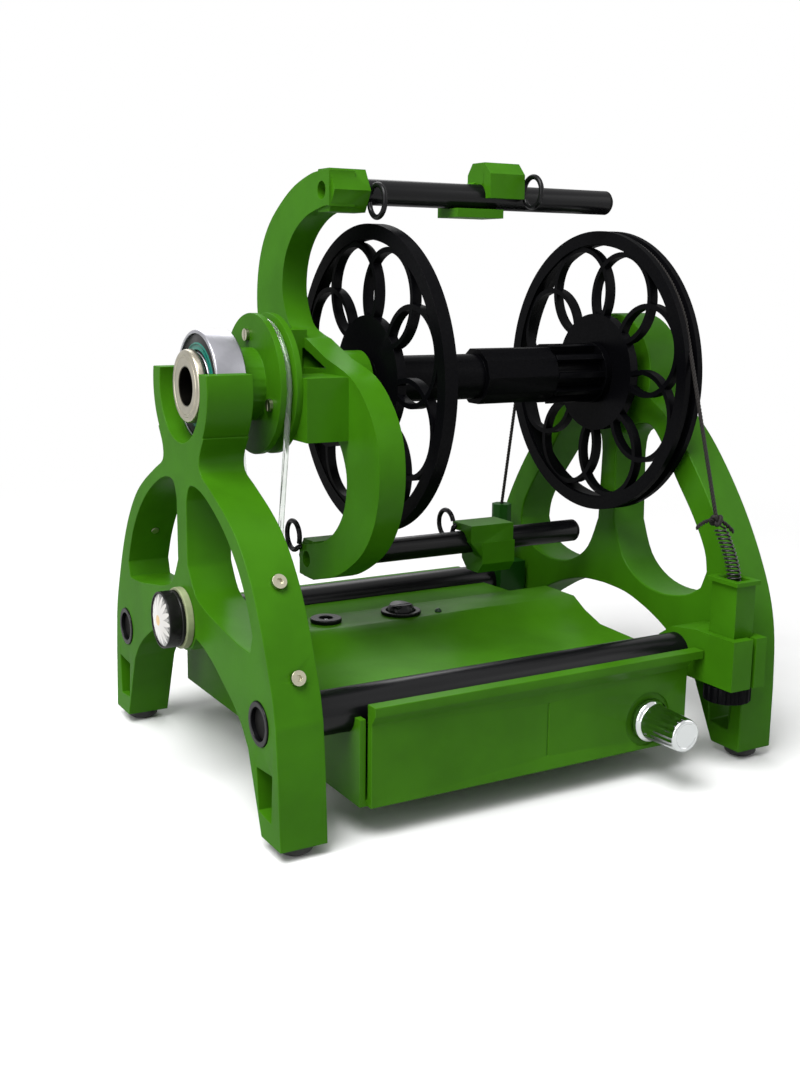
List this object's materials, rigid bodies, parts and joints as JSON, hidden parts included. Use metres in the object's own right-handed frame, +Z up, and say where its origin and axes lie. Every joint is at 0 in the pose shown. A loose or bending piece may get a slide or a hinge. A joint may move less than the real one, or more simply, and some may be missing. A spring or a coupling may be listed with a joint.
{
  "type": "electric spinning wheel",
  "caption": "Compact motor-driven spinning wheel with arched end frames, a whorl and flyer with sliding hooks, a lattice bobbin and a cord brake.",
  "frame": {"origin": "on the table under the middle of the part's overall box", "axes": "+X along the spindle from the orifice to the rear frame, -Y to the side with the speed knob, +Z up"},
  "size_m": [0.2351, 0.2004, 0.2415],
  "materials": {
    "green_plastic": "satin printed plastic",
    "green_light": "satin printed plastic",
    "dark_green_plastic": "satin printed plastic",
    "black_plastic": "semi gloss",
    "black_tube": "smooth extruded",
    "black_rubber": "matte",
    "steel": "turned",
    "dark_wire": "dark wire",
    "chrome_plastic": "bright plated",
    "bushing_metal": "bright turned",
    "seal": "smooth seal",
    "band": "clear elastic",
    "cord": "twisted cord",
    "motor_can": "plated can",
    "board": "solder mask",
    "cream_plastic": "bearing plastic",
    "pale_disc": "satin",
    "dome": "domed clear cast",
    "led_lens": "clear lens"
  },
  "bodies": {
    "base": {"front_frame": "green_plastic", "rear_frame": "green_plastic", "near_rod": "black_tube", "far_rod": "black_tube", "rod_plugs": "black_plastic", "leg_screws": "steel", "rubber_feet": "black_rubber", "housing_tray": "green_light", "housing_cover": "green_light", "control_panel": "green_light", "indicator_led": "led_lens", "circuit_board": "board", "potentiometer": "steel", "dc_jack": "black_plastic", "jack_pin": "steel", "switch_bezel": "black_plastic", "motor_body": "motor_can", "motor_screws": "steel", "drive_band": "band", "front_bearing_outer": "steel", "front_bearing_seal": "seal", "rear_bearing_outer": "steel", "tension_clamp": "green_plastic", "brake_cord": "cord", "cord_anchor": "dark_green_plastic", "badge_base": "pale_disc", "badge_rim": "black_plastic", "badge_dome": "dome"},
    "flyer": {"front_bearing_inner": "steel", "orifice_bushing": "bushing_metal", "whorl": "green_plastic", "whorl_screws": "steel", "flyer_plate": "green_plastic", "spindle_shaft": "steel", "upper_tube": "black_tube", "lower_tube": "black_tube", "tube_caps": "black_plastic", "fixed_hooks": "dark_wire", "rear_bearing_inner": "steel"},
    "upper_slider": {"upper_clip": "green_plastic", "upper_clip_hook": "dark_wire"},
    "lower_slider": {"lower_clip": "green_plastic", "lower_clip_hook": "dark_wire"},
    "bobbin": {"bobbin_front_flange": "black_plastic", "bobbin_core": "black_plastic", "bobbin_rear_flange": "black_plastic", "bobbin_bushings": "cream_plastic"},
    "rotor": {"motor_shaft": "steel", "motor_pulley": "green_plastic"},
    "knob": {"speed_knob": "chrome_plastic", "pot_shaft": "steel"},
    "rocker": {"switch_rocker": "black_plastic"},
    "tension_wheel": {"thumb_wheel": "black_plastic", "tension_screw": "steel"},
    "tension_slider": {"tension_post": "green_plastic", "tension_spring": "dark_wire"}
  },
  "joints": [
    {"name": "flyer_spin", "type": "hinge", "parent": "base", "child": "flyer", "pos_m": [0.00445, 0.0082, 0.155], "axis": [1, 0, 0], "continuous": true},
    {"name": "bobbin_spin", "type": "hinge", "parent": "base", "child": "bobbin", "pos_m": [0.00445, 0.0082, 0.155], "axis": [1, 0, 0], "continuous": true},
    {"name": "motor_spin", "type": "hinge", "parent": "base", "child": "rotor", "pos_m": [-0.07355, 0.0082, 0.033], "axis": [1, 0, 0], "continuous": true},
    {"name": "upper_clip_slide", "type": "slide", "parent": "flyer", "child": "upper_slider", "axis": [1, 0, 0], "range_m": [-0.037, 0.045]},
    {"name": "lower_clip_slide", "type": "slide", "parent": "flyer", "child": "lower_slider", "axis": [1, 0, 0], "range_m": [-0.044, 0.037]},
    {"name": "speed_knob_turn", "type": "hinge", "parent": "base", "child": "knob", "pos_m": [0.05395, -0.0778, 0.0245], "axis": [0, 1, 0], "range_deg": [0, 300]},
    {"name": "rocker_tilt", "type": "hinge", "parent": "base", "child": "rocker", "pos_m": [-0.01105, 0.0072, 0.0564], "axis": [1, 0, 0], "range_deg": [-10, 10]},
    {"name": "tension_wheel_turn", "type": "hinge", "parent": "base", "child": "tension_wheel", "pos_m": [0.08895, -0.0848, 0.033], "axis": [0, 0, 1], "range_deg": [-1262, 2522]},
    {"name": "tension_post_lift", "type": "slide", "parent": "base", "child": "tension_slider", "axis": [0, 0, 1], "range_m": [-0.0028, 0.0056], "deforming": ["tension_spring"]}
  ],
  "couplings": [
    {"joint": "motor_spin", "follows": "flyer_spin", "ratio": 4.4546},
    {"joint": "tension_wheel_turn", "follows": "tension_post_lift", "rad_per_m": 7854}
  ]
}
